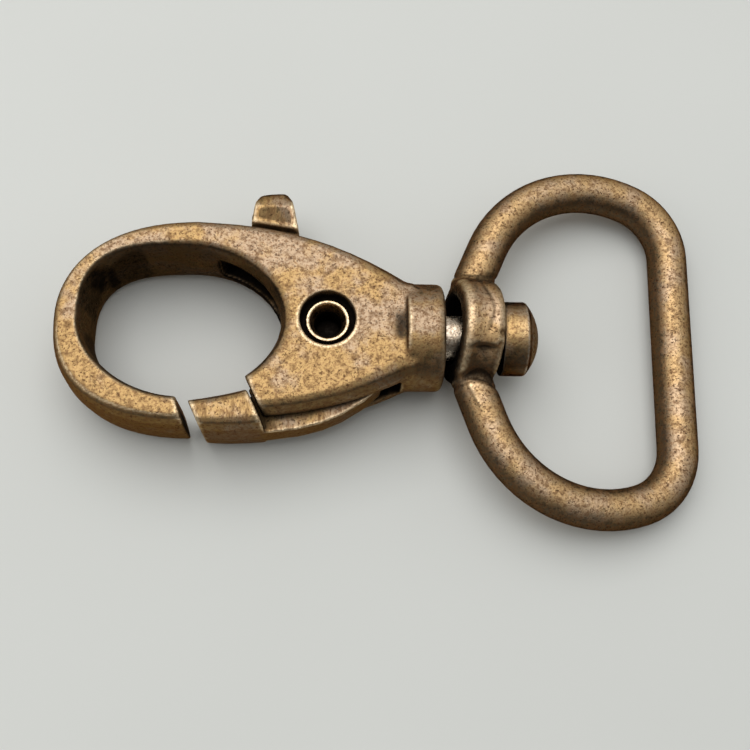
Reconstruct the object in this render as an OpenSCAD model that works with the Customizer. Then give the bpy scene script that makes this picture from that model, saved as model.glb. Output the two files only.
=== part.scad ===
// Swivel snap hook with a thumb lever and a D-ring, for 20 mm strap.
//
// Frame: the lever's pivot is the Z axis and the flat back of the casting is z = 0.
// +X runs from the pivot to the D-ring, along the swivel, and +Y points to the thumb tab.

/* [Casting] */
// Thickness of the hook casting between its two flat faces
body_t = 6; // [5.4:0.1:7]
// How far the casting's edges are rounded in from its widest line
edge_round = 0.9; // [0.6:0.05:1.1]
// How the rounding runs: 2 is round, more is squarer
edge_power = 2.5; // [2:0.1:3.5]

/* [Hook opening] */
// Length of the opening that takes a ring or a strap
opening_l = 13.2; // [12:0.1:15]
// Width of the opening
opening_w = 10.1; // [9:0.1:11]
// Wall between the opening and the pivot's centre
opening_wall = 3.3; // [2.9:0.1:4]
// How far the opening's middle lies below the pivot
opening_drop = 0.15; // [0:0.05:0.5]
// Width of the hook's arm at its far end
arm_end_w = 2; // [1.6:0.1:2.6]
// Width of the hook's arm along its side
arm_side_w = 2.3; // [1.8:0.1:2.8]

/* [Gate] */
// Gap between the nose of the hook and the tip of the gate
nose_gap = 0.8; // [0.5:0.1:1.6]
// Length of the gate outside the casting, along the opening
gate_l = 3.4; // [3.2:0.1:4.6]
// Gap between the gate's shoulder and the casting's jaw
jaw_gap = 0.3; // [0.2:0.05:0.5]
// Slant of the nose, the gate's ends and the jaw, in degrees
cut_slant = 65; // [60:1:70]
// How far the gate stands proud of the nose's outer line
gate_proud = 0.55; // [0.2:0.05:0.7]
// How far the gate swings in, in degrees
gate_swing = 26; // [15:1:28]

/* [Slot and lever] */
// Height of the slot between the casting's two cheeks
slot_h = 2.7; // [2.3:0.1:3.2]
// Clearance above and below the lever in its slot
lever_clear = 0.15; // [0.1:0.05:0.25]
// Radius of the lever's hub
hub_r = 3.2; // [2.9:0.1:3.5]
// Width of the thumb tab where it leaves the casting
tab_w = 3.4; // [2.8:0.1:3.8]
// How far the thumb tab's top is from the pivot's centre
tab_reach = 10.2; // [9:0.1:11]
// Thickness of the thumb tab
tab_t = 3.4; // [3:0.1:4]

/* [Pivot rivet] */
// Diameter of the rivet's shank
rivet_d = 2.4; // [2:0.1:2.6]
// Radial clearance of the lever on the rivet
rivet_clear = 0.05; // [0.02:0.01:0.09]
// Diameter of the rivet's rolled lip and of its back head
lip_d = 3; // [2.8:0.1:3.2]
// Thickness of the rolled lip
lip_t = 0.4; // [0.3:0.05:0.5]
// Diameter of the hollow in the rivet's end
rivet_bore_d = 1.9; // [1.5:0.1:1.9]
// Depth of that hollow
rivet_bore_depth = 2.6; // [1.5:0.1:3]
// Diameter of the counterbores around the rivet's ends
well_d = 3.75; // [3.5:0.05:4]
// Thickness of casting left under each counterbore
well_floor = 0.6; // [0.5:0.05:0.8]

/* [Torsion spring] */
// Diameter of the spring wire
wire_d = 0.35; // [0.3:0.05:0.4]
// Turns of the spring
spring_turns = 3; // [2:1:3]
// Mean diameter of the spring's coil
coil_d = 3.3; // [3.2:0.05:3.5]

/* [Collar and swivel stud] */
// Diameter of the casting's collar
collar_d = 7.5; // [7:0.1:8]
// Length of the collar
collar_l = 2.6; // [2.2:0.1:3.4]
// Distance from the pivot to the collar
collar_x = 5.35; // [5.25:0.05:6.5]
// How far the swivel's axis lies below the pivot
swivel_drop = 0.4; // [0:0.05:0.6]
// Diameter of the stud's neck
neck_d = 3.15; // [2.8:0.05:3.4]
// Radial clearance of the stud in the collar
stud_clear = 0.05; // [0.02:0.01:0.09]
// Diameter of the stud's head
head_d = 5.2; // [4.8:0.1:5.6]
// Length of the stud's head up to its domed end
head_l = 1.7; // [1.5:0.1:2.5]
// Height of the domed end
dome_h = 1; // [0.6:0.1:1.2]
// Diameter of the stud's riveted inner end
peen_d = 4; // [3.7:0.1:4.2]
// Thickness of that inner end
peen_t = 0.6; // [0.5:0.05:0.8]

/* [D-ring] */
// Inside width of the D-ring, for 20 mm strap
ring_w = 20.9; // [20.4:0.1:22]
// Diameter of the D-ring's bar
bar_d = 2.9; // [2.6:0.1:3.2]
// Length from the middle of the eye to the middle of the straight bar
ring_l = 15.3; // [14:0.1:16]
// Radius of the two outer corners, at the bar's middle
corner_r = 4.4; // [3.8:0.1:5]
// Radius of the bow, at the bar's middle
bow_r = 8.85; // [8.5:0.05:9.5]
// Diameter of the eye
eye_d = 7.5; // [7.2:0.1:7.9]
// Length of the eye along the swivel
eye_l = 2.9; // [2.6:0.1:3.2]

/* [Hidden] */
$fn = 96;
eps = 0.01;         // overshoot of a cut past the face it goes through
seat_gap = 0.1;     // play left where two loose pieces all but meet

mid_z = body_t / 2;
slot_z = mid_z - slot_h / 2;
plate_t = slot_h - 2 * lever_clear;
plate_z = slot_z + lever_clear;

// --- lines of the hook's round end -------------------------------------------------
inner_cx = -opening_wall - opening_l / 2;
inner_a = opening_l / 2;
inner_b = opening_w / 2;
outer_b = inner_b + arm_side_w;
outer_shift = 0.9;                                   // the outside is centred this much nearer the pivot
outer_cx = inner_cx + outer_shift;
outer_cy = 0.12 - opening_drop;                      // and a touch higher
outer_a = inner_a + arm_end_w + outer_shift;
far_power = [1.86, 3];                               // the opening is squarer at its far end, more so above
near_power = [1.83, 1.97];                           // and a little pointed at its near end
outer_power = [2.48, 2.05];                          // the outside is a little squarer below

// --- lines of the shoulders --------------------------------------------------------
collar_r = collar_d / 2;
neck_in = 0.12;                                      // the shoulders meet the collar this far inside it
root_x = collar_x + 0.05;                            // where the shoulders go into the collar
root_l = 2.4;                                        // how far their rounded end reaches inside it
back_end = [root_x, collar_r - swivel_drop - neck_in];
back_start = [outer_cx, outer_b + outer_cy];

// --- lines of the nose, the gate and the jaw -----------------------------------------
slant = [cos(cut_slant), -sin(cut_slant)];           // runs outward across the gate
jaw_turn = -47;                                      // where the jaw meets the opening
jaw_in = inner_point(jaw_turn);
jaw_l = 3.2;                                         // length of the jaw's face
jaw_out = jaw_in + jaw_l * slant;
nose_in_turn = nose_turn(jaw_in[0] - jaw_gap - gate_l - nose_gap);
nose_in = inner_point(nose_in_turn);
nose_out_turn = -91;
belly_end = [root_x, -collar_r - swivel_drop + neck_in];
belly_bulge = 0.45;                                  // how far the cheek's lower edge bows out
back_bulge = 1.1;                                    // how far the back's edge bows out

// --- swivel --------------------------------------------------------------------------
collar_end = collar_x + collar_l;
swivel_y = -swivel_drop;
ring_droop = 10.5;                                   // how far the ring hangs down when all lies flat
ring_yaw = -1.4;                                     // how far it has swung to one side, as it fell
ring_shift = [0.4, 0.05];                            // how far its eye lies off the swivel, over and up
eye_rim = 0.5;                                       // rounding of the eye's two ends
eye_x = collar_end + (eye_d / 2 - eye_rim) * sin(ring_droop) + eye_l / 2 * cos(ring_droop) + seat_gap / 2;
head_x = eye_x + eye_l / 2 * cos(ring_droop) + head_d / 2 * sin(ring_droop) + seat_gap / 2;
eye_hole_d = (neck_d + eye_l * sin(ring_droop)) / cos(ring_droop) + 2 * (seat_gap + norm(ring_shift));
stud_bore_d = neck_d + 2 * stud_clear;
peen_x = collar_x - seat_gap - peen_t;
pocket_l = peen_t + 3 * seat_gap;
slot_end_x = collar_x - 0.35;                        // the slot stops this far short of the collar

// Point on the opening's edge at a turn around its middle
function inner_point(turn) = let (p = below_above(cos(turn) < 0 ? far_power : near_power, turn))
    [inner_cx, -opening_drop] + oval(inner_a, inner_b, p, turn);

// Point on the outside of the hook's round end
function outer_point(turn) = let (p = below_above(outer_power, turn))
    [outer_cx, outer_cy] + oval(outer_a, outer_b, p, turn);

// The first of a pair below the opening's middle line, the second above it
function below_above(pair, turn) = sin(turn) < 0 ? pair[0] : pair[1];

// A squared oval of half-length a and half-width b
function oval(a, b, p, turn) =
    [a * sign(cos(turn)) * pow(abs(cos(turn)), 2 / p), b * sign(sin(turn)) * pow(abs(sin(turn)), 2 / p)];

// The turn at which the opening's lower edge reaches a given x
function nose_turn(x) = -180 + acos(pow(min(1, abs(x - inner_cx) / inner_a), far_power[0] / 2));

// A point turned about the pivot
function turned(p, a) = [p[0] * cos(a) - p[1] * sin(a), p[0] * sin(a) + p[1] * cos(a)];

// Points on a bowed line from a to b, n steps, bulging by h to its left
function bowed(a, b, h, n) = let (d = b - a, side = [-d[1], d[0]] / norm(d))
    [for (i = [0:n]) let (t = i / n) a + t * d + 4 * h * t * (1 - t) * side];

// Evenly spaced numbers from a to b, n steps
function spread(a, b, n) = [for (i = [0:n]) a + (b - a) * i / n];

// The rounding of an edge takes no more than this share of the casting's width
round_share = 0.3;

// Rounding of an edge: [inset, height] pairs from the back face to the front face
round_steps = [for (t = [-90, -66, -36, 0, 36, 66, 90])
    [1 - pow(cos(t), 2 / edge_power), 0.5 + 0.5 * sign(t) * pow(abs(sin(t)), 2 / edge_power)]];

// Direction in from point i of a line to the line it is matched with. The two end points go
// straight across, so that the ends stay flat.
function inward(line, other, i) = let (
    n = len(line),
    along = line[min(i + 1, n - 1)] - line[max(i - 1, 0)],
    side = [-along[1], along[0]] / norm(along),
    over = (other[i] - line[i]) / norm(other[i] - line[i]))
    i == 0 || i == n - 1 ? over / max(0.8, abs(side * over)) : side * sign(side * over);

// A casting of thickness t whose sides follow two matched lines of points, with rounded edges.
// round_a and round_b give the rounding in from each line at each point.
module cast_strip(line_a, line_b, round_a, round_b, t) {
    k = len(round_steps);
    m = 2 * k;
    n = len(line_a);
    points = [for (i = [0:n - 1]) let (
        most = round_share * norm(line_b[i] - line_a[i]),
        da = inward(line_a, line_b, i) * min(most, round_a[i]),
        db = inward(line_b, line_a, i) * min(most, round_b[i]))
        each concat(
            [for (s = round_steps) let (q = line_a[i] + s[0] * da) [q[0], q[1], s[1] * t]],
            [for (j = [k - 1:-1:0]) let (s = round_steps[j], q = line_b[i] + s[0] * db)
                [q[0], q[1], s[1] * t]])];
    ends = [for (j = [0:k - 2]) each [[j, j + 1, m - 2 - j], [j, m - 2 - j, m - 1 - j]]];
    sides = [for (i = [0:n - 2], j = [0:m - 1]) each let (a = i * m, b = a + m, c = (j + 1) % m)
        [[a + j, b + c, a + c], [a + j, b + j, b + c]]];
    faces = concat(ends, [for (f = ends) [for (v = [2, 1, 0]) f[v] + (n - 1) * m]], sides);
    polyhedron(points, faces);
}

// --- the hook casting ----------------------------------------------------------------
arm_steps = 36;
back_steps = 11;
root_steps = 6;
belly_steps = 10;
well_sides = 60;
collar_round = 0.5;                                  // extra rounding where the shoulders meet the collar

body_outer = concat(
    [for (t = spread(nose_out_turn, -266, arm_steps)) outer_point(t)],
    bowed(back_start, back_end, back_bulge, back_steps),
    [for (t = spread(72, -72, root_steps)) (back_end + belly_end) / 2
        + [root_l * cos(t), norm(back_end - belly_end) / 2 * sin(t)]],
    bowed(belly_end, jaw_out, belly_bulge, belly_steps));
body_inner = concat(
    [for (t = spread(nose_in_turn, -266, arm_steps)) inner_point(t)],
    [for (t = spread(90, 32, back_steps)) inner_point(t)],
    [for (t = spread(29, -12, root_steps)) inner_point(t)],
    [for (t = spread(-14, jaw_turn, belly_steps)) inner_point(t)]);

// The outside is rounded more towards the collar, and the opening less towards its far end
body_round = [for (p = body_outer) edge_round + collar_round * max(0, min(1, (p[0] - 1) / (root_x - 1)))];
inner_round = [for (p = body_inner) edge_round * (2 + (p[0] - inner_cx) / inner_a) / 3];

module hook_body() {
    color([0.66, 0.51, 0.33])
    difference() {
        union() {
            cast_strip(body_outer, body_inner, body_round, inner_round, body_t);
            collar();
        }
        lever_slot();
        pivot_wells();
        leg_hole();
        along_swivel(peen_x - seat_gap) cylinder(d = peen_d + 4 * seat_gap, h = pocket_l);
        along_swivel(peen_x) cylinder(d = stud_bore_d, h = collar_end);
    }
}

// Turns +Z onto the swivel's axis and goes x along it
module along_swivel(x) {
    translate([x, swivel_y, mid_z]) rotate([0, 90, 0]) children();
}

module collar() {
    rim = 0.45;
    along_swivel(collar_x)
    rotate_extrude()
    polygon([[0, 0], [collar_r, 0], [collar_r, collar_l - rim], [collar_r - 0.3 * rim, collar_l - 0.3 * rim],
        [collar_r - rim, collar_l], [0, collar_l]]);
}

// The slot that the lever turns in: open at the opening, at the tab and along the belly.
// Its end on the tab's side is the tab's own side, turned by the gate's swing, which stops it.
module lever_slot() {
    past = 2 * outer_b;
    open_turn = gate_swing + stop_turn;
    back_wall = [for (p = [[tab_right, past], [tab_right, tab_root_y], lever_shoulder + [seat_gap, seat_gap]])
        turned(p, -open_turn)];
    translate([0, 0, slot_z])
    linear_extrude(slot_h)
    polygon(concat(
        [[inner_cx + 1.8, 0], [inner_cx + 1.8, inner_b - 1.2]],
        [[tab_left - 0.6, outer_b - 0.4], [tab_left - 0.6, past]],
        back_wall,
        [[slot_end_x, 2.2], [slot_end_x, -past], [jaw_in[0] - 1, -past], [jaw_in[0] - 1, jaw_in[1]]]));
}

// Counterbores for the rivet's two ends, and the hole between them
module pivot_wells() {
    cheek = (body_t - slot_h) / 2;
    well_depth = cheek - well_floor;
    translate([0, 0, -eps]) cylinder(d = rivet_d, h = body_t + 2 * eps);
    for (z = [-eps, body_t - well_depth])
    translate([0, 0, z])
    linear_extrude(well_depth + eps)
    polygon([for (turn = [0:360 / well_sides:359]) well_d / 2 * [cos(turn), sin(turn)]]);
}

// --- the lever -----------------------------------------------------------------------
tab_left = -5.45;                                    // left side of the tab's root
tab_right = tab_left + tab_w;
tab_root_y = 6;                                      // the tab's narrow root, inside the slot
tab_foot_y = 7.25;                                   // underside of the tab, clear of the casting's back
tab_fall = 0.55;                                     // its underside falls this much toward the D-ring
tab_round = 0.8;
stop_turn = 1;                                       // play between the tab and the slot's end when open
lever_shoulder = [-0.6, 4];                          // corner between the tab's root and the hub
gate_in_end = jaw_in - [jaw_gap, 0] + slant;
gate_in_tip = nose_in + [nose_gap, -0.25];
gate_steps = 8;
gate_inner = bowed(gate_in_end, gate_in_tip, 0.06, gate_steps);
gate_out_tip = gate_in_tip + (1.9 + gate_proud) * slant;
gate_out_end = gate_in_end + 3.25 * slant;
gate_outer = bowed(gate_out_end, gate_out_tip, 0.1, gate_steps);

module gate_lever() {
    color([0.6, 0.45, 0.29])
    difference() {
        union() {
            cast_strip(gate_outer, gate_inner, [for (p = gate_outer) edge_round],
                [for (p = gate_inner) edge_round], body_t);
            lever_plate();
            thumb_tab();
        }
        translate([0, 0, -eps]) cylinder(d = rivet_d + 2 * rivet_clear, h = body_t + 2 * eps);
        spring_pocket();
    }
}

// The flat of the lever, inside the slot: tab root, hub, then the arm out to the gate
module lever_plate() {
    tab_side = [[tab_left, tab_foot_y + 1], [tab_left, tab_root_y], [-5.5, 4.6], [-3.9, 3.1], [-3.2, 1.8]];
    gate_side = [[-2.7, 0], [-3.2, -2], [-4.3, -3.6], gate_in_end + 0.6 * slant, gate_out_end - [0.3, 0]];
    belly_side = [[-1.9, -7.25], [-0.4, -6.85], [1, -6.25], [2.5, -5.3], [3.6, -4.3], [4, -3.4], [3.6, -2.2]];
    translate([0, 0, plate_z])
    linear_extrude(plate_t)
    union() {
        circle(r = hub_r);
        polygon(concat(tab_side, gate_side, belly_side, [[hub_r, 0], [1.6, 2.8], lever_shoulder],
            [[tab_right, tab_root_y], [tab_right - 0.4, tab_foot_y + 1]]));
    }
}

// The tab that the thumb pushes, wider than the slot and bevelled at its top
module thumb_tab() {
    left = tab_left + 0.32;
    right = tab_right - 0.6;
    top = concat(
        [[left, tab_reach - 0.6], [left + 0.12, tab_reach - 0.3]],
        bowed([left + 0.4, tab_reach - 0.15], [right - 0.5, tab_reach], 0.04, 5),
        [[right - 0.2, tab_reach - 0.2], [right, tab_reach - 0.6]]);
    foot = bowed([tab_left, tab_foot_y], [tab_right, tab_foot_y - tab_fall], 0, len(top) - 1);
    translate([0, 0, mid_z - tab_t / 2])
    cast_strip(top, foot, [for (p = top) tab_round], [for (p = foot) tab_round / 2], tab_t);
}

// Round pocket in the lever's front for the spring, with room for its two legs
module spring_pocket() {
    pocket_r = coil_d / 2 + wire_d / 2 + 0.25;
    room = wire_d + 0.15;
    depth = coil_lift * spring_turns + wire_d + room;
    translate([0, 0, plate_z + plate_t - depth]) {
        cylinder(r = pocket_r, h = depth + eps);
        channel(coil_foot, foot_leg[0], wire_d / 2 + seat_gap, depth + eps);
    }
    translate([0, 0, plate_z + plate_t - wire_d - room])
    for (turn = spread(0, gate_swing + stop_turn, 3))
    channel(turned(coil_head, turn), turned(1.5 * head_leg[1], turn), wire_d / 2 + seat_gap,
        wire_d + room + eps);
}

// A groove of half-width r from a to b
module channel(a, b, r, h) {
    side = r * [a[1] - b[1], b[0] - a[0]] / norm(b - a);
    linear_extrude(h) polygon([a + side, a - side, b - side, b + side]);
}

// --- the pivot rivet -------------------------------------------------------------------
rivet_lo = (body_t - slot_h) / 2 - well_floor;       // seat of the back head
rivet_hi = body_t - rivet_lo;                        // seat of the rolled lip
module pivot_rivet() {
    r = rivet_d / 2;
    bore_r = rivet_bore_d / 2;
    lip_r = lip_d / 2;
    roll = lip_t / 2;
    top = rivet_hi + lip_t;
    break = 0.15;
    back_head = [[0, rivet_lo - lip_t], [lip_r - break, rivet_lo - lip_t], [lip_r, rivet_lo - lip_t + break],
        [lip_r, rivet_lo], [r, rivet_lo]];
    hollow = [[bore_r + break, top], [bore_r, top - break], [bore_r, top - rivet_bore_depth],
        [0, top - rivet_bore_depth - bore_r / 2]];
    color([0.72, 0.6, 0.42])
    rotate_extrude()
    union() {
        polygon(concat(back_head, [[r, rivet_hi], [lip_r - roll, rivet_hi], [lip_r - roll, top]], hollow));
        translate([lip_r - roll, rivet_hi + roll]) circle(r = roll, $fn = 48);
    }
}

// --- the torsion spring ------------------------------------------------------------------
coil_r = coil_d / 2;
coil_lift = wire_d * 1.02;                           // pitch of the coil
coil_top_z = plate_z + plate_t - wire_d / 2 - 0.05;
head_turn = -20;                                     // where the casting's leg leaves the coil
foot_turn = 141;                                     // where the lever's leg leaves the coil
coil_head = coil_r * [cos(head_turn), sin(head_turn)];
coil_foot = coil_r * [cos(foot_turn), sin(foot_turn)];
head_leg = [for (l = coil_r * [1.88, 1.33, 1.15, 0.9, 0.5])
    coil_head + l * [-sin(head_turn), cos(head_turn)]];
head_rise = wire_d * [2.4, 1.4, 0.3, 0, 0];          // the leg turns up into a hole in the cheek
foot_leg = [for (l = coil_r * [1.18, 0.6]) coil_foot + l * [-sin(foot_turn), cos(foot_turn)]];
coil_steps = 18;

module torsion_spring() {
    color([0.55, 0.55, 0.57])
    swept_wire(spring_path(), wire_d / 2, 10);
}

function spring_path() = let (
    whole = 360 * (spring_turns - 1) + foot_turn - head_turn,
    n = ceil(coil_steps * whole / 360),
    foot_z = coil_top_z - coil_lift * whole / 360)
    concat(
        [for (i = [0:len(head_leg) - 1]) [head_leg[i][0], head_leg[i][1], coil_top_z + head_rise[i]]],
        [for (i = [0:n]) let (a = head_turn + whole * i / n)
            [coil_r * cos(a), coil_r * sin(a), coil_top_z - coil_lift * whole / 360 * i / n]],
        [for (i = [1, 0]) [foot_leg[i][0], foot_leg[i][1], foot_z]]);

// Blind hole in the front cheek for the spring's leg
module leg_hole() {
    middle = (head_leg[0] + head_leg[1]) / 2;
    translate([middle[0], middle[1], slot_z + slot_h - eps])
    cylinder(d = 2.2 * norm(head_leg[0] - head_leg[1]), h = head_rise[0] + 0.1);
}

// A round wire along a path of points
module swept_wire(path, r, sides) {
    n = len(path);
    rings = [for (i = [0:n - 1]) let (
        t = path[min(i + 1, n - 1)] - path[max(i - 1, 0)],
        u = cross(t, [0, 0, 1]) / norm(cross(t, [0, 0, 1])),
        v = cross(u, t) / norm(t))
        each [for (j = [0:sides - 1]) path[i] + r * (cos(360 * j / sides) * u + sin(360 * j / sides) * v)]];
    faces = concat(
        [[for (j = [sides - 1:-1:0]) j]],
        [[for (j = [0:sides - 1]) (n - 1) * sides + j]],
        [for (i = [0:n - 2], j = [0:sides - 1]) each let (a = i * sides, b = a + sides, c = (j + 1) % sides)
            [[a + j, a + c, b + c], [a + j, b + c, b + j]]]);
    polyhedron(rings, faces);
}

// --- the swivel stud ---------------------------------------------------------------------
module swivel_stud() {
    r = neck_d / 2;
    hr = head_d / 2;
    dome_r = (hr * hr + dome_h * dome_h) / (2 * dome_h);
    dome_turn = asin(hr / dome_r);
    dome_x = head_x + head_l + dome_h - dome_r;
    color([0.68, 0.6, 0.48])
    along_swivel(0)
    rotate_extrude()
    polygon(concat(
        [[0, peen_x], [peen_d / 2, peen_x], [peen_d / 2, peen_x + peen_t], [r, peen_x + peen_t],
         [r, head_x], [hr - 0.1, head_x], [hr, head_x + 0.1]],
        [for (t = spread(dome_turn, 0, 8)) [dome_r * sin(t), dome_x + dome_r * cos(t)]]));
}

// --- the D-ring ---------------------------------------------------------------------------
half_w = (ring_w + bar_d) / 2;
bow_turn = 70;                                       // where the bow runs into the corner
corner_at = [ring_l - corner_r, half_w - bow_r + (bow_r - corner_r) * sin(bow_turn)];
bow_at = corner_at - (bow_r - corner_r) * [cos(bow_turn), sin(bow_turn)];
bow_end = 158;                                       // where the bow runs on straight, into the eye
straight_l = 3.5;                                    // length of that straight piece
bow_out = [-sin(bow_end), cos(bow_end)];

// The bar's middle line, from inside the eye round one half, and the whole loop
half_path = concat(
    [for (l = [straight_l, straight_l / 2]) bow_at + bow_r * [cos(bow_end), sin(bow_end)] + l * bow_out],
    [for (t = spread(bow_end, bow_turn + 5, 16)) bow_at + bow_r * [cos(t), sin(t)]],
    [for (t = spread(bow_turn, 0, 10)) corner_at + corner_r * [cos(t), sin(t)]]);
ring_path = concat(
    [for (p = half_path) [p[0], p[1], 0]],
    [for (i = [len(half_path) - 1:-1:0]) [half_path[i][0], -half_path[i][1], 0]]);

module d_ring() {
    color([0.6, 0.47, 0.31])
    translate([eye_x, swivel_y + ring_shift[0], mid_z + ring_shift[1]])
    rotate([0, ring_droop, ring_yaw])
    difference() {
        union() {
            swept_wire(ring_path, bar_d / 2, 24);
            eye_boss();
        }
        translate([-eye_l, 0, 0]) rotate([0, 90, 0]) cylinder(d = eye_hole_d, h = 2 * eye_l);
    }
}

module eye_boss() {
    corner = [eye_d / 2, eye_l / 2];
    rise = [corner - [0, eye_rim], corner - 0.3 * [eye_rim, eye_rim], corner - [eye_rim, 0]];
    rotate([0, 90, 0])
    rotate_extrude()
    polygon(concat([[0, -eye_l / 2]], [for (i = [2:-1:0]) [rise[i][0], -rise[i][1]]], rise,
        [[0, eye_l / 2]]));
}

hook_body();
gate_lever();
pivot_rivet();
torsion_spring();
swivel_stud();
d_ring();
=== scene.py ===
# %% [markdown]
# # A small swivel snap hook in antique brass
# Four parts of it move on each other: the hook itself, a lever whose end is the gate, a stud that
# turns in the hook's collar, and a D-ring that rocks on the stud. A rivet carries the lever, and a
# small spring round the rivet keeps the gate shut. The solids come ready from the CAD model. This
# lesson gives them what a casting really has: soft edges, a slightly uneven skin, a brown patina
# with pits, and bright metal where hands rub it.
#
# Everything is in metres, in the CAD model's own frame: the lever's pivot is the Z axis, the flat
# back of the hook is z = 0, +X runs to the D-ring and +Y to the thumb tab.

# %% Open the model
import math

import bmesh
import bpy
import numpy as np
from mathutils import Matrix, Vector
from mathutils.bvhtree import BVHTree


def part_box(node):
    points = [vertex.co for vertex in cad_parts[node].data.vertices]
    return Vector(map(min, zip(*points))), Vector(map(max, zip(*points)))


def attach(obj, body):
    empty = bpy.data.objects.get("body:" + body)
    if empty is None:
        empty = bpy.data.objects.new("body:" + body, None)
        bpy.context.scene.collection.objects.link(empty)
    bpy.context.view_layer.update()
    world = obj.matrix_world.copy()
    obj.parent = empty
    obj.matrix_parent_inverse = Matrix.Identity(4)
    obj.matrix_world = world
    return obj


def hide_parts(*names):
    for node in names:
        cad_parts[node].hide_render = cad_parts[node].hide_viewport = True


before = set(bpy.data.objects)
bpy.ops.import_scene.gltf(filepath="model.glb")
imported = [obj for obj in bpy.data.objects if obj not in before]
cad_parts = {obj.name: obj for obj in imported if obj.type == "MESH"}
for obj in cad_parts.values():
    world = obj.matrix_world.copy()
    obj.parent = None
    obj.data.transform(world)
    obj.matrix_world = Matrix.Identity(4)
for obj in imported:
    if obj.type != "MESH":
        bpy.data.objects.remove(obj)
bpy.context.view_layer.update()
MM = 0.001
print("nodes:", sorted(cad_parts))

# %% [markdown]
# ## From a machined solid to a casting
# A CAD solid has edges as sharp as a knife, and its mesh is long loose triangles. A die casting
# has no sharp edge at all. Bevelling each edge by hand would be one way. Here the whole skin is
# rebuilt instead: the copy is welded, turned into an even grid of small quads with the voxel
# remesher, and smoothed a little. Every edge becomes a small radius, and the even grid also gives
# the patina something fine enough to be painted on. One unit stands for a millimetre while this is
# done, since cells this small, written in metres, come close to the smallest that the remesher
# takes.

# %% Rebuild a solid's skin
def recast(node, name, cell, rounds):
    """A copy of a CAD node with an even skin of quads, cell mm wide, and softened edges."""
    piece = bpy.data.objects.new(name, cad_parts[node].data.copy())
    bpy.context.scene.collection.objects.link(piece)
    bm = bmesh.new()
    bm.from_mesh(piece.data)
    bmesh.ops.scale(bm, vec=(1 / MM,) * 3, verts=bm.verts)
    bmesh.ops.remove_doubles(bm, verts=bm.verts, dist=0.0005)
    bmesh.ops.recalc_face_normals(bm, faces=bm.faces)
    bm.to_mesh(piece.data)
    bm.free()
    remesh = piece.modifiers.new("skin", "REMESH")
    remesh.mode = "VOXEL"
    remesh.voxel_size = cell
    smooth = piece.modifiers.new("soften", "SMOOTH")
    smooth.factor = 0.5
    smooth.iterations = rounds
    apply_modifiers(piece)
    return piece


def apply_modifiers(piece):
    """Replaces a piece's mesh with what its modifiers make of it."""
    graph = bpy.context.evaluated_depsgraph_get()
    made = bpy.data.meshes.new_from_object(piece.evaluated_get(graph))
    piece.modifiers.clear()
    piece.data = made
    print(f"{piece.name}: {len(made.polygons)} faces")


# %% [markdown]
# ## Moving the skin
# The small differences between one casting and the next are made by moving points of this skin: a
# crease where the mould halves met, a dent, a hump. Each is a rule that says how far a point at a
# given place moves along its normal. NumPy works on all points at once, which keeps the rules
# short.

# %% Read and write a skin
def points_of(piece):
    co = np.empty(len(piece.data.vertices) * 3)
    piece.data.vertices.foreach_get("co", co)
    return co.reshape(-1, 3)


def normals_of(piece):
    no = np.empty(len(piece.data.vertices) * 3)
    piece.data.vertices.foreach_get("normal", no)
    return no.reshape(-1, 3)


def put_points(piece, co):
    piece.data.vertices.foreach_set("co", np.ascontiguousarray(co).ravel())
    piece.data.update()


def edges_of(piece):
    pairs = np.empty(len(piece.data.edges) * 2, dtype=np.int64)
    piece.data.edges.foreach_get("vertices", pairs)
    return pairs.reshape(-1, 2)


def averaged(values, pairs, rounds):
    """Each value replaced by the mean of itself and its neighbours, a number of times."""
    count = np.bincount(pairs.ravel(), minlength=len(values)) + 1.0
    for _ in range(rounds):
        total = values.copy()
        np.add.at(total, pairs[:, 0], values[pairs[:, 1]])
        np.add.at(total, pairs[:, 1], values[pairs[:, 0]])
        values = total / (count if values.ndim == 1 else count[:, None])
    return values


def bell(distance, width):
    """1 where distance is 0, fading to nothing over about twice the width."""
    return np.exp(-((distance / width) ** 2))


def smooth_step(value, start, end):
    """0 before start, 1 past end, and a soft step between. It also runs downwards."""
    t = np.clip((value - start) / (end - start), 0, 1)
    return t * t * (3 - 2 * t)


# %% [markdown]
# ## The hook
# The hook is one zinc casting: the round arm, the two cheeks that hold the lever between them, and
# the collar for the stud. Where the shoulders run into the collar, the tool left a small flat
# pocket on the front, which is painted darker further on. It could be cut with a boolean, but a
# rule that sinks the skin by a tenth of a millimetre gives it the soft edge that a casting has.

# %% Cast the hook
collar_x = 5.35                         # where the collar begins
pocket_x, pocket_y = collar_x - 0.5, -0.35
pocket_w, pocket_half_l, pocket_depth = 0.42, 1.15, 0.10
hook = recast("hook_body", "hook_casting", 0.13, 4)
co, no = points_of(hook), normals_of(hook)
pocket = bell(co[:, 0] - pocket_x, pocket_w)
pocket *= np.clip(1 - (np.abs(co[:, 1] - pocket_y) / pocket_half_l) ** 6, 0, 1)
pocket *= np.clip((co[:, 2] - 5.3) / 0.3, 0, 1)     # on the front alone
co -= no * (pocket_depth * pocket)[:, None]

# %% [markdown]
# Both cheeks are counterbored for the rivet. The mouth of such a well is a true circle, which a
# grid of quads can't follow, so its points are drawn onto one. On the front only their distance
# from the axis changes, because the skin is already round enough there. On the back their height
# changes too.

# %% Draw the wells' mouths true
front_z = 6.0                           # the front face, as high as the casting is thick
well_r, well_round = 1.875, 0.16
well_floor = 5.2                        # the wall is drawn true down to here
near_wall, near_mouth = 0.15, 0.4       # how far off the points may be that are drawn


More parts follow.
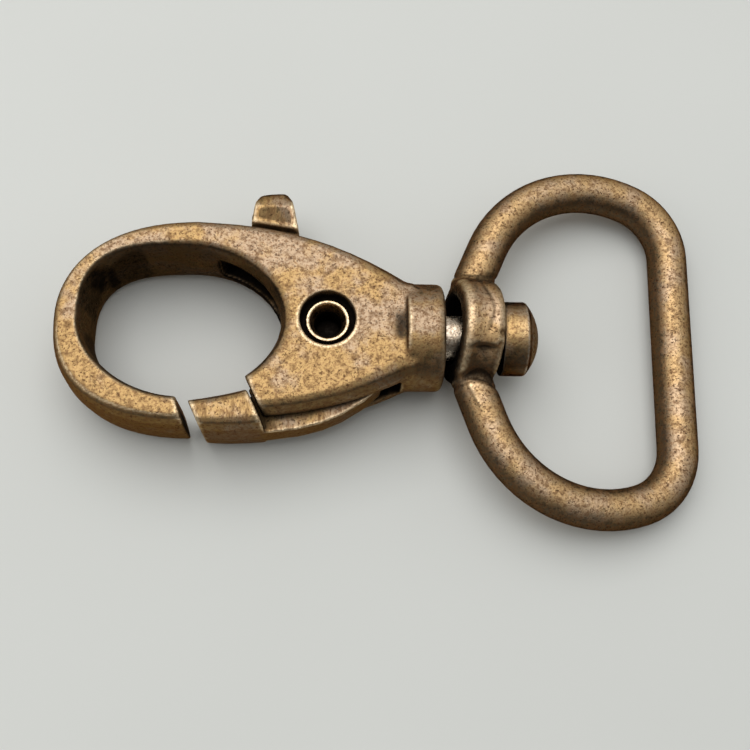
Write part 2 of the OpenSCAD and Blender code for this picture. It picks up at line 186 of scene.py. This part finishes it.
def mouth(reach, height):
    """Where points belong near a mouth: distance from the axis, and height above the far face."""
    out, rise = reach - well_r - well_round, height - front_z + well_round
    away = np.hypot(out, rise) + 1e-9
    wall = (np.abs(reach - well_r) < near_wall) & (height > well_floor) & (rise <= 0)
    corner = (np.hypot(out, rise) < near_mouth) & (out < 0) & (rise > 0)
    true_reach = np.where(wall, well_r, reach)
    true_reach = np.where(corner, well_r + well_round + well_round * out / away, true_reach)
    true_height = np.where(corner, front_z - well_round + well_round * rise / away, height)
    return true_reach, true_height


reach = np.hypot(co[:, 0], co[:, 1])
front_reach, _ = mouth(reach, co[:, 2])
back_reach, back_height = mouth(reach, front_z - co[:, 2])
co[:, :2] *= (front_reach / reach)[:, None]
co[:, :2] *= (back_reach / reach)[:, None]
co[:, 2] = front_z - back_height
put_points(hook, co)
print("points drawn onto the mouths:", int(((front_reach != reach) | (back_reach != reach)).sum()))

# %% [markdown]
# ## The lever
# The lever is a casting too. Its gate is as thick as the hook, and the rest is a flat plate that
# disappears into the slot, with a tab for the thumb on the other side. It gets the same skin. The
# upper half of the tab's front falls away in a flat facet, which the thumb meets first.

# %% Cast the lever
facet_y, facet_slope = 8.75, 0.35       # where the facet begins, and its fall per mm
lever = recast("gate_lever", "lever_casting", 0.11, 3)
co = points_of(lever)
near_front = np.clip((co[:, 2] - 3.6) / 0.8, 0, 1)
co[:, 2] -= near_front * facet_slope * np.clip(co[:, 1] - facet_y, 0, None)
put_points(lever, co)

# %% [markdown]
# ## The D-ring
# The ring and the boss round its eye are one casting. The rules for it are written in the ring's
# own directions, so the skin's points are first turned level: x runs through the eye, y along the
# bar and z up. It could be shaped by hand with brushes, but rules can be read and changed.

# %% Cast the D-ring and level it
ring = recast("d_ring", "ring_casting", 0.13, 5)
eye = np.array((10.02, 0.0, 3.05))      # the middle of the eye
eye_r = 3.75                            # the boss's outer radius
droop, yaw = math.radians(10.5), math.radians(-1.4)
level = Matrix.Rotation(-droop, 3, "Y") @ Matrix.Rotation(-yaw, 3, "Z")
co, no = points_of(ring), normals_of(ring)
local = (co - eye) @ np.array(level).T
x, y, z = local.T
across = np.hypot(y, z)
print(f"level ring: {np.ptp(x):.2f} x {np.ptp(y):.2f} x {np.ptp(z):.2f} mm")

# %% [markdown]
# The boss is a little hollow between its two rims, with a wandering seam where the halves of the
# mould met, and two nicks. Its near side is pressed in. There the bar leaves it with a thin line
# of flash, and each bar meets it in a crease.

# %% Mark the boss
on_boss = smooth_step(across, eye_r - 0.7, eye_r - 0.3)
on_boss = on_boss * smooth_step(across, eye_r + 0.4, eye_r + 0.1)
saddle = 0.12 * bell(x, 0.75) * smooth_step(np.abs(y), 3.2, 2.0)
wander = 0.25 * np.sin(1.3 * y + 0.6)
seam = 0.09 * bell(x - 0.35 - wander, 0.13) * smooth_step(y, -1.4, -0.4)
pressed = 0.28 * bell(x - 0.1, 0.95) * smooth_step(y, -1.7, -2.1)
nicks = 0.12 * bell(np.hypot(x - 1.15, y + 1.0), 0.2)
nicks += 0.10 * bell(np.hypot(x - 1.05, y + 1.75), 0.16)
dents = (saddle + seam + pressed + nicks) * on_boss
co -= no * dents[:, None]

crease = 0.10 * bell(across - eye_r - 0.35, 0.16) * smooth_step(np.abs(y), 3.2, 3.6)
crease *= smooth_step(np.abs(x), 4, 3)
flash = 0.07 * bell(x + 0.75 + 0.5 * (y + 3.6), 0.13) * smooth_step(y, -3.7, -4.0)
flash *= smooth_step(y, -6.2, -5.2) * (z > 0)
co += no * (flash - crease)[:, None]
put_points(ring, co)
print(f"deepest dent {dents.max():.2f} mm, highest flash {flash.max():.2f} mm")

# %% [markdown]
# ## The rivet
# The rivet is turned, so a profile spun round its axis is the natural way to make it. It is a
# hollow rivet: the far end is a plain head, and the near end is rolled outwards into a thin bright
# lip that falls away into the hollow like a funnel.

# %% Spin a profile
def lathe(name, profile, axis_point, axis, steps):
    """A closed turned piece. profile is (radius, height) pairs in mm, from axis to axis."""
    turn = Vector((0, 0, 1)).rotation_difference(Vector(axis)).to_matrix().to_4x4()
    bm = bmesh.new()
    chain = [bm.verts.new((r, 0, z)) for r, z in profile]
    edges = [bm.edges.new(pair) for pair in zip(chain, chain[1:])]
    bmesh.ops.spin(bm, geom=chain + edges, cent=(0, 0, 0), axis=(0, 0, 1), angle=2 * math.pi,
                   steps=steps, use_merge=True, use_duplicate=False)
    bmesh.ops.remove_doubles(bm, verts=bm.verts, dist=0.0005)
    bmesh.ops.recalc_face_normals(bm, faces=bm.faces)
    bmesh.ops.transform(bm, matrix=Matrix.Translation(axis_point) @ turn, verts=bm.verts)
    piece = bpy.data.objects.new(name, bpy.data.meshes.new(name))
    bm.to_mesh(piece.data)
    bm.free()
    bpy.context.scene.collection.objects.link(piece)
    print(f"{name}: {len(piece.data.polygons)} faces")
    return piece


def rounded(profile, radius, steps=4):
    """The same profile with its corners rounded, by running a short arc past each."""
    made = [profile[0]]
    for before, corner, after in zip(profile, profile[1:], profile[2:]):
        before, corner, after = Vector(before), Vector(corner), Vector(after)
        cut = min(radius, (corner - before).length * 0.45, (after - corner).length * 0.45)
        start = corner + (before - corner).normalized() * cut
        end = corner + (after - corner).normalized() * cut
        for i in range(steps + 1):
            t = i / steps
            made.append(tuple(start * (1 - t) ** 2 + corner * 2 * t * (1 - t) + end * t ** 2))
    return made + [profile[-1]]


# %% Turn the rivet
low, high = (corner.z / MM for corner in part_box("pivot_rivet"))
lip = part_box("pivot_rivet")[1].x / MM
shank, hollow = 1.2, 0.95               # radii
rim_t, lip_w = 0.4, 0.25                # thickness of the head and the lip, width of the lip
funnel_l, hollow_l, point_l = 0.8, 2.6, 3.0
rivet_profile = [
    (0, low), (lip, low), (lip, low + rim_t), (shank, low + rim_t),
    (shank, high - rim_t), (lip, high - rim_t), (lip, high), (lip - lip_w, high),
    (hollow + 0.1, high - 0.45), (hollow, high - funnel_l), (hollow, high - hollow_l),
    (0, high - point_l)]
rivet = lathe("rolled_rivet", rounded(rivet_profile, 0.17), (0, 0, 0), (0, 0, 1), 72)

# %% [markdown]
# ## The swivel stud
# The stud is a turned steel piece: a shank in the collar, a neck through the ring's eye, and a
# head with a domed end. It is spun like the rivet, and set on the middle of the solid that it
# replaces.

# %% Turn the stud
least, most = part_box("swivel_stud")
inner, outer = least.x / MM, most.x / MM
head_r = (most.z - least.z) / 2 / MM
stud_y = (most.y + least.y) / 2 / MM
stud_z = (most.z + least.z) / 2 / MM
neck_r, head_l, dome_h = 1.575, 1.7, 1.0
peen_r, peen_t = 2.0, 0.6               # the riveted inner end
head_x = outer - dome_h - head_l
dome_r = (head_r ** 2 + dome_h ** 2) / (2 * dome_h)
neck_step = 0.25                        # closely spaced, because the patina is painted on points
neck_steps = int((head_x - inner - peen_t) / neck_step)
neck = [(neck_r, inner + peen_t + neck_step * i) for i in range(neck_steps)]
dome_turns = [math.asin(head_r / dome_r) * (1 - i / 10) for i in range(1, 11)]
dome = [(dome_r * math.sin(t), outer - dome_r * (1 - math.cos(t))) for t in dome_turns]
peen = [(0, inner), (peen_r, inner), (peen_r, inner + peen_t)]
head = [(neck_r, head_x), (head_r - 0.02, head_x), (head_r, head_x + 0.3),
        (head_r, head_x + head_l)]
stud_profile = rounded(peen + neck + head + dome, 0.12)
stud = lathe("turned_stud", stud_profile, (0, stud_y, stud_z), (1, 0, 0), 96)

# %% [markdown]
# ## Where patina and painted shade stay and where hands rub
# An antique finish is dark plating that has been rubbed back. So each skin is given two paint
# layers, kept as attributes that the material reads. One, rub, is how far a place stands out from
# what is round it, measured from the mesh itself: edges are rubbed bright. The other, sky, is how
# much of the open air each point sees, measured with short rays against the whole object: corners
# and gaps stay dark, partly as patina and partly as painted shade. Painting by hand would do as
# well, but a measured layer follows when a shape changes.

# %% Measure rubbing, and the openness that sets patina and painted shade
GOLDEN_ANGLE = 2.399963                 # radians; spreads the rays evenly
RAYS, RAY_LENGTH = 12, 4.0              # number for each point, and how far they look, in mm
RAY_START = 0.05                        # mm above the skin, so that no ray meets its own face
FULL_EDGE = 0.06                        # mm that a sharp edge stands out


def skin_tree(pieces):
    """All the skins as one thing that rays can be shot at."""
    verts, faces, base = [], [], 0
    for piece in pieces:
        verts += [v.co for v in piece.data.vertices]
        faces += [[base + i for i in p.vertices] for p in piece.data.polygons]
        base += len(piece.data.vertices)
    return BVHTree.FromPolygons(verts, faces)


def open_sky(piece, obstacles):
    """For each point, the share of short rays that leave without meeting anything."""
    spread = []
    for k in range(RAYS):
        rise, turn = (k + 0.5) / RAYS, k * GOLDEN_ANGLE
        flat = math.sqrt(1 - rise * rise)
        spread.append(Vector((flat * math.cos(turn), flat * math.sin(turn), rise)))
    seen = np.empty(len(piece.data.vertices))
    straight_up = Vector((0, 0, 1))
    for i, v in enumerate(piece.data.vertices):
        lean = straight_up.rotation_difference(v.normal)
        start = v.co + v.normal * RAY_START
        hits = (obstacles.ray_cast(start, lean @ d, RAY_LENGTH)[0] for d in spread)
        seen[i] = sum(hit is None for hit in hits)
    return seen / RAYS


def standing_out(piece, rounds):
    """Positive on outer edges, negative in inner corners, in mm."""
    pairs, here = edges_of(piece), points_of(piece)
    return ((here - averaged(here, pairs, rounds)) * normals_of(piece)).sum(1)


def paint(piece, name, values):
    layer = piece.data.attributes.new(name, "FLOAT", "POINT")
    layer.data.foreach_set("value", values.astype(np.float32))


# %% [markdown]
# ## What the measuring can't know
# Some places are rubbed, dirty or shaded for reasons that no ray can find, so each piece has its
# own rule, which corrects the two layers. On the hook, the pocket is painted darker, and the
# opening's walls get a painted shade. A rubbed line runs along the outer edge of the arm's near
# side and the inner edge of its far end, and the wells' mouths are rubbed all round, most on the
# near left. Edges halfway up the casting, such as those of the slot, stay dull.

# %% The hook's own wear and painted shade
mid_z = front_z / 2
opening_mid = np.array((-9.9, -0.15))


def wear_and_shade_hook(x, y, z, no, sky, edge):
    # the pocket is painted darker
    sky = sky - 0.16 * pocket
    halfway = smooth_step(np.abs(z - mid_z), 2.5, 1.7) * smooth_step(x, 5.2, 4.8)
    edge = edge * (0.6 - 0.45 * halfway)

    to_mid = opening_mid - np.column_stack((x, y))
    inward = (to_mid * no[:, :2]).sum(1) / np.hypot(*to_mid.T)
    # painted shade on the opening's walls, which face into it
    wall_shade = smooth_step(inward, 0.3, 0.8) * smooth_step(x, -1, -2.5)
    sky = sky - 0.34 * wall_shade

    flank = np.hypot(no[:, 0], no[:, 1]) + 1e-6
    crest = bell(np.abs(no[:, 2]) - 0.88, 0.05)
    near = smooth_step(-(0.6 * no[:, 0] + 0.8 * no[:, 1]) / flank, 0.2, 0.8)
    near = near * smooth_step(x, -8, -10)
    far_end = smooth_step(no[:, 0] / flank, 0.4, 0.9) * smooth_step(x, -13, -14)
    edge = np.maximum(edge, 0.9 * crest * np.maximum(near, far_end))

    from_mouth = np.abs(np.hypot(x, y) - well_r - 0.12)
    rim = smooth_step(from_mouth, 0.30, 0.05) * smooth_step(np.abs(z - mid_z), 2.75, 2.85)
    rim *= 0.72 - 0.10 * np.clip(x / well_r, -1, 1) - 0.25 * np.clip(y / well_r, -1, 1)
    edge = np.maximum(edge * smooth_step(from_mouth, 0.2, 0.45), rim)
    return np.maximum(sky, 0.9 * rim), edge


# %% [markdown]
# The thumb keeps the front of the lever's tab clean, least below the facet, and the rest of the
# lever is never quite black. The ring is rubbed evenly. The rivet's lip is bright, and its funnel
# clean. The stud's neck shines, because the ring rubs it all the time, and its dome is rubbed a
# little.

# %% The other pieces' own wear
neck_x, neck_l = 8.7, 1.7               # middle and length of the part of the neck that shows


def wear_lever(x, y, z, no, sky, edge):
    thumbed = smooth_step(y, 6.4, 6.9) * smooth_step(z, 3.8, 4.3)
    below = thumbed * smooth_step(y, facet_y + 0.2, facet_y - 0.1) * smooth_step(edge, 0.5, 0.25)
    sky = np.maximum(sky, 0.5 + 0.35 * thumbed) * (1 - below) + 0.56 * below
    edge = edge * 0.75
    return sky, np.where(thumbed > 0.5, np.maximum(edge, -0.05), edge)


def wear_ring(x, y, z, no, sky, edge):
    return sky, edge * 0.75


def wear_rivet(x, y, z, no, sky, edge):
    sky = np.maximum(sky, 0.9 * smooth_step(z, high - 1.3, high - 0.4))
    return sky, np.where(z > high - 0.1, 1.0, edge)


def wear_stud(x, y, z, no, sky, edge):
    on_neck = np.abs(x - neck_x) < neck_l / 2
    sky = np.where(on_neck, np.maximum(sky, 0.72), sky)
    edge = np.where(on_neck, 1, edge * 0.4)
    return sky, np.maximum(edge, 0.55 * smooth_step(x, outer - dome_h, outer - 0.7 * dome_h))


# %% Paint the two layers
skins = [hook, lever, ring, rivet, stud]
whole = skin_tree(skins)
for piece, wear_and_shade in zip(skins, (wear_and_shade_hook, wear_lever, wear_ring, wear_rivet, wear_stud)):
    pairs = edges_of(piece)
    sky = averaged(open_sky(piece, whole), pairs, 3)
    edge = averaged(standing_out(piece, 12), pairs, 2) / FULL_EDGE
    sky, edge = wear_and_shade(*points_of(piece).T, normals_of(piece), sky, edge)
    paint(piece, "sky", sky)
    paint(piece, "rub", np.clip(edge, -1, 1))
    print(f"{piece.name}: sky {sky.min():.2f} to {sky.max():.2f}, "
          f"edge {edge.min():.2f} to {edge.max():.2f}")

# %% [markdown]
# The skins were made with a millimetre as the unit. Now they go back to metres, and get smooth
# shading.

# %% Bring the pieces home to metres
for piece in skins:
    piece.data.transform(Matrix.Scale(MM, 4))
    piece.data.shade_smooth()
print("in metres:", [piece.name for piece in skins])

# %% [markdown]
# ## The antique finish
# One recipe serves all the castings. Underneath is a warm metal. Over it lie patterns of different
# size: slow changes from tan to rose, mottling and fine stains of brown, and small red-brown pits.
# A painted shade darkens the skin where it rolls over from the top to the sides, and is weaker
# where the sides stand upright and would show the bright board. The two painted layers then darken
# corners, partly as patina and partly as painted shade, and brighten edges. Rough where it is dark
# and smoother where it is rubbed is what makes the light break up the way it does on old brass.
# All of it is made of noise, so it needs no pictures and has no seams.

# %% Small helpers for node trees
def new_material(name):
    made = bpy.data.materials.new(name)
    made.use_nodes = True
    return made, made.node_tree, made.node_tree.nodes["Principled BSDF"]


def add(tree, kind, **values):
    """A node with its sockets set by name, or joined if the value is another node's socket.

    A name that starts with an underscore is a setting of the node, and not a socket.
    """
    node = tree.nodes.new(kind)
    for key, value in values.items():
        if key.startswith("_"):
            setattr(node, key[1:], value)
        elif isinstance(value, bpy.types.NodeSocket):
            tree.links.new(value, node.inputs[key.replace("_", " ")])
        else:
            node.inputs[key.replace("_", " ")].default_value = value
    return node


def ramp(tree, value, low, high, out_low=0.0, out_high=1.0):
    """A soft step from out_low to out_high, as value goes from low to high."""
    node = add(tree, "ShaderNodeMapRange", Value=value, _clamp=True,
               _interpolation_type="SMOOTHSTEP")
    node.inputs["From Min"].default_value = low
    node.inputs["From Max"].default_value = high
    node.inputs["To Min"].default_value = out_low
    node.inputs["To Max"].default_value = out_high
    return node.outputs["Result"]


def math_node(tree, what, a, b=0.0):
    node = tree.nodes.new("ShaderNodeMath")
    node.operation = what
    for socket, value in zip(node.inputs, (a, b)):
        if isinstance(value, bpy.types.NodeSocket):
            tree.links.new(value, socket)
        else:
            socket.default_value = value
    return node.outputs[0]


def blend_colours(tree, share, a, b):
    """Colour a where share is 0, and b where it is 1. Sockets 6 and 7 are the node's colours."""
    node = tree.nodes.new("ShaderNodeMix")
    node.data_type = "RGBA"
    sockets = (node.inputs["Factor"], node.inputs[6], node.inputs[7])
    for socket, value in zip(sockets, (share, a, b)):
        if isinstance(value, bpy.types.NodeSocket):
            tree.links.new(value, socket)
        else:
            socket.default_value = value if socket.name == "Factor" else (*value, 1.0)
    return node.outputs[2]


def noise(tree, place, size_mm, detail=3.0, rough=0.55, squash=None):
    """Noise whose features are about size_mm across, squashed by a factor along each axis."""
    if squash:
        place = add(tree, "ShaderNodeMapping", Vector=place, Scale=squash).outputs[0]
    return add(tree, "ShaderNodeTexNoise", Vector=place, Scale=1 / (size_mm * MM), Detail=detail,
               Roughness=rough).outputs["Fac"]


# %% [markdown]
# The colours are linear values, as Blender wants them. They were chosen so that a surface facing
# the soft light comes out at the tan of worn antique brass, and one facing away at its dark brown.

# %% The colours
TAN = (0.49, 0.315, 0.135)
ROSE = (0.47, 0.340, 0.225)
BROWN = (0.20, 0.105, 0.048)
# the painted shade on the rolled-over sides
PAINTED_SHADE_OLIVE = (0.066, 0.047, 0.029)
# the dark of patina and of painted shade in corners and gaps
PATINA_AND_SHADE_DARK = (0.013, 0.010, 0.008)
PIT = (0.060, 0.022, 0.012)
BRIGHT = (0.90, 0.70, 0.45)

# %% The recipe
BUMP_DEPTH = 0.05 * MM


def antique(name, tan=TAN, rose=ROSE, bright=BRIGHT, grain=1.0, pits=1.0, side_shade_strength=0.9, streak=None,
            rough=0.50, drift=(0, 0), upright_board_reflection=0.0):
    """The finish. grain, pits and the side setting are the strength of bump, pits and the painted
    shade on the sides.

    streak stretches the fine patterns, rough is how dull the metal is, drift turns tan into rose
    by so much for each mm along X and Y, and the last setting weakens the painted shade where the
    sides stand upright and would show the bright board.
    """
    made, tree, metal = new_material(name)
    spot = add(tree, "ShaderNodeTexCoord")
    place = spot.outputs["Object"]
    sky = add(tree, "ShaderNodeAttribute", _attribute_name="sky").outputs["Fac"]
    rub = add(tree, "ShaderNodeAttribute", _attribute_name="rub").outputs["Fac"]
    facing = add(tree, "ShaderNodeSeparateXYZ", Vector=spot.outputs["Normal"])
    level_share = math_node(tree, "ABSOLUTE", facing.outputs["Z"])

    # the patterns, from the widest to the finest
    slow = noise(tree, place, 2.4, 4)
    mottle = noise(tree, place, 0.5, 4, 0.65, streak)
    fine = noise(tree, place, 0.2, 3, 0.7, streak)
    speck = noise(tree, place, 0.16, 2, 0.5)
    uneven = math_node(tree, "SUBTRACT", math_node(tree, "ADD", mottle, fine), 1.0)

    # tan and rose
    where = add(tree, "ShaderNodeSeparateXYZ", Vector=place).outputs
    patch = math_node(tree, "ADD", slow, math_node(tree, "MULTIPLY", where["X"], drift[0] / MM))
    patch = math_node(tree, "ADD", patch, math_node(tree, "MULTIPLY", where["Y"], drift[1] / MM))
    colour = blend_colours(tree, ramp(tree, patch, 0.42, 0.62), tan, rose)

    # painted shade: darker as the skin rolls over to the side, less so where it stands upright
    ragged = math_node(tree, "ADD", level_share, math_node(tree, "MULTIPLY", uneven, 0.6))
    painted_side_shade = math_node(tree, "MULTIPLY", ramp(tree, ragged, 0.99, 0.58, 0, side_shade_strength),
                     ramp(tree, level_share, 0.65, 0.25, 1, 1 - upright_board_reflection))
    colour = blend_colours(tree, painted_side_shade, colour, PAINTED_SHADE_OLIVE)

    # stains and pits
    colour = blend_colours(tree, ramp(tree, mottle, 0.46, 0.66, 0, 0.6), colour, BROWN)
    colour = blend_colours(tree, ramp(tree, fine, 0.47, 0.62, 0, 0.75), colour, BROWN)
    pit = ramp(tree, speck, 0.58, 0.72, 0, 0.65 * pits)
    colour = blend_colours(tree, pit, colour, PIT)

    # rubbed edges, then patina and painted shade in corners and gaps
    worn = math_node(tree, "MULTIPLY", ramp(tree, rub, 0.3, 0.9),
                     ramp(tree, fine, 0.62, 0.42, 0.35, 1.0))
    colour = blend_colours(tree, math_node(tree, "MULTIPLY", worn, 0.8), colour, bright)
    ragged = math_node(tree, "ADD", sky, math_node(tree, "MULTIPLY", uneven, 0.25))
    patina_and_shade = math_node(tree, "MAXIMUM", ramp(tree, ragged, 0.76, 0.36),
                     ramp(tree, rub, -0.1, -0.5, 0, 0.75))
    colour = blend_colours(tree, patina_and_shade, colour, PATINA_AND_SHADE_DARK)

    metal.inputs["Metallic"].default_value = 1.0
    tree.links.new(colour, metal.inputs["Base Color"])
    tree.links.new(colour, metal.inputs["Specular Tint"])
    dull = math_node(tree, "ADD", ramp(tree, mottle, 0.35, 0.7, rough - 0.06, rough + 0.14),
                     math_node(tree, "MULTIPLY", patina_and_shade, 0.25))
    dull = math_node(tree, "SUBTRACT", dull, math_node(tree, "MULTIPLY", worn, 0.10))
    tree.links.new(dull, metal.inputs["Roughness"])

    relief = math_node(tree, "ADD", math_node(tree, "MULTIPLY", mottle, 0.6),
                       math_node(tree, "MULTIPLY", fine, 0.45))
    relief = math_node(tree, "SUBTRACT", relief, math_node(tree, "MULTIPLY", pit, 0.5))
    bump = add(tree, "ShaderNodeBump", Strength=0.7 * grain, Distance=BUMP_DEPTH, Height=relief)
    tree.links.new(bump.outputs[0], metal.inputs["Normal"])
    return made


# %% [markdown]
# The hook turns from tan to rose towards the collar and the tab. The lever's tab is streaked by
# the thumb, and the ring is rougher and lighter. The rivet and the stud are turned, so they are
# smoother.

# %% One finish for each piece
finishes = {
    "hook": antique("antique brass, cast", drift=(0.005, 0.012), upright_board_reflection=0.45),
    "lever": antique("antique brass, thumbed", streak=(1, 0.35, 1), grain=1.2, upright_board_reflection=0.45),
    "ring": antique("antique brass, rough cast", (0.68, 0.45, 0.22), (0.66, 0.47, 0.30),
                    grain=1.3, pits=1.2),
    "rivet": antique("brass rivet", rough=0.3, pits=0.3, side_shade_strength=0.2),
    "stud": antique("worn stud", bright=(0.85, 0.72, 0.58), pits=0.8, rough=0.34),
}
print("finishes:", [m.name for m in finishes.values()])

# %% [markdown]
# The spring is never seen whole, only as a glint in the slot, so the CAD mesh stays and gets a
# plain drawn-wire steel.

# %% Wire steel
wire, wire_tree, wire_metal = new_material("drawn wire")
wire_place = add(wire_tree, "ShaderNodeTexCoord").outputs["Object"]
wire_grain = noise(wire_tree, wire_place, 0.2, 2, 0.5, (1, 1, 6))
wire_metal.inputs["Metallic"].default_value = 1.0
wire_tree.links.new(blend_colours(wire_tree, wire_grain, (0.40, 0.38, 0.35), (0.22, 0.20, 0.18)),
                    wire_metal.inputs["Base Color"])
wire_tree.links.new(ramp(wire_tree, wire_grain, 0.3, 0.7, 0.28, 0.45),
                    wire_metal.inputs["Roughness"])
print("wire:", wire.name)

# %% [markdown]
# ## Hanging the pieces on the moving bodies
# Each skin rides on the body that moves it, stands in for its CAD solid, which is hidden, and gets
# its own finish. Parenting by hand would do the same, but this way the pose files move the skins
# too.

# %% Dress the pieces and hang them on their bodies
for piece, node, body, slot, finish in [
        (hook, "hook_body", "hook", "hook_casting", "hook"),
        (lever, "gate_lever", "lever", "lever_casting", "lever"),
        (ring, "d_ring", "ring", "ring_casting", "ring"),
        (rivet, "pivot_rivet", "hook", "rivet", "rivet"),
        (stud, "swivel_stud", "stud", "stud", "stud")]:
    piece.data.materials.clear()
    piece.data.materials.append(finishes[finish])
    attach(piece, body)
    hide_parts(node)
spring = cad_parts["torsion_spring"]
for row in spring.material_slots:
    row.material = wire
print("pieces:", [p.name for p in skins] + [spring.name])

# %% [markdown]
# ## The table
# The hook lies on a pale grey board. It rests on its collar, on the far end of the arm and on the
# ring's bar, so the board is a plane that slopes by a degree and a half in the hook's own frame.

# %% Lay the board
slope = math.radians(1.54)
under_collar = (8.4 * MM, 0, -0.76 * MM)
board_mesh = bpy.data.meshes.new("board")
bm = bmesh.new()
bmesh.ops.create_grid(bm, x_segments=1, y_segments=1, size=0.6)
bmesh.ops.rotate(bm, cent=(0, 0, 0), matrix=Matrix.Rotation(slope, 3, "Y"), verts=bm.verts)
bmesh.ops.translate(bm, vec=under_collar, verts=bm.verts)
bm.to_mesh(board_mesh)
bm.free()
board = bpy.data.objects.new("board", board_mesh)
bpy.context.scene.collection.objects.link(board)
card, card_tree, card_skin = new_material("pale card")
card_place = add(card_tree, "ShaderNodeTexCoord").outputs["Object"]
card_mottle = noise(card_tree, card_place, 30, 2)
card_tree.links.new(
    blend_colours(card_tree, card_mottle, (0.635, 0.64, 0.61), (0.68, 0.685, 0.655)),
    card_skin.inputs["Base Color"])
card_skin.inputs["Roughness"].default_value = 0.75
board_mesh.materials.append(card)
print("board slopes by", round(math.degrees(slope), 2), "degrees")

# %% [markdown]
# ## The lamps
# The light is a broad soft lamp overhead, with a weaker one from the left. A large lamp close by
# gives a metal wide highlights, where a small one would leave only glints.

# %% Hang the lamps
def soft_lamp(name, place_mm, size_mm, watts):
    """A square lamp that looks at the middle of the object."""
    lamp = bpy.data.lights.new(name, "AREA")
    lamp.size = size_mm * MM
    lamp.energy = watts
    holder = bpy.data.objects.new(name, lamp)
    holder.location = Vector(place_mm) * MM
    aim = Vector((4, 0, 0)) * MM - holder.location
    holder.rotation_euler = aim.to_track_quat("-Z", "Y").to_euler()
    bpy.context.scene.collection.objects.link(holder)
    print(f"{name}: {size_mm} mm wide, {watts} W, {aim.length / MM:.0f} mm away")


soft_lamp("window", (-30, 105, 305), 340, 0.72)
soft_lamp("fill", (-190, -30, 130), 150, 0.05)

# %% [markdown]
# ## The room
# Metal shows its surroundings. The room is bright towards the far side and dark on the near side,
# and this step from light to dark, together with the painted shade on the sides, draws the dark
# bands along the rolled edges.

# %% Light the room
BRIGHT_SIDE = {"Y": 0.89, "Z": 0.45}    # the direction in which the room is brightest
DARK, LIGHT = 0.12, 0.60                # strength on the near and on the far side
world = bpy.data.worlds.new("room")
bpy.context.scene.world = world
world.use_nodes = True
room = world.node_tree
way = add(room, "ShaderNodeTexCoord").outputs["Generated"]
split = add(room, "ShaderNodeSeparateXYZ", Vector=way)
farther = math_node(room, "ADD", math_node(room, "MULTIPLY", split.outputs["Z"], BRIGHT_SIDE["Z"]),
                    math_node(room, "MULTIPLY", split.outputs["Y"], BRIGHT_SIDE["Y"]))
back = room.nodes["Background"]
back.inputs["Color"].default_value = (0.96, 0.98, 0.97, 1)
room.links.new(ramp(room, farther, -0.45, 0.40, DARK, LIGHT), back.inputs["Strength"])
print("room strength:", DARK, "to", LIGHT)

# %% [markdown]
# ## The camera
# A short distance and a normal lens, looking almost straight down and a little from the near side.
# The camera is set by its own three directions, which say where right, up and forward are in the
# hook's frame. Aiming it at a point would be simpler, but would lose its slight tilt.

# %% Set the camera
to_right = Vector((0.99922, -0.00127, 0.0394))
to_top = Vector((-0.00995, 0.959, 0.28322))
forward = Vector((0.03814, 0.28339, -0.95825))
eye_point = Vector((0.499, -23.783, 72.903)) * MM
camera_data = bpy.data.cameras.new("camera")
camera_data.sensor_width = 36
camera_data.lens = 50.78
camera_data.clip_start, camera_data.clip_end = 0.005, 5
camera = bpy.data.objects.new("camera", camera_data)
turn = Matrix((to_right, to_top, -forward)).transposed().to_4x4()
camera.matrix_world = Matrix.Translation(eye_point) @ turn
bpy.context.scene.collection.objects.link(camera)
bpy.context.scene.camera = camera
bpy.context.scene.view_settings.view_transform = "Standard"
print("camera height in mm:", round(camera.matrix_world.translation.z / MM, 1))
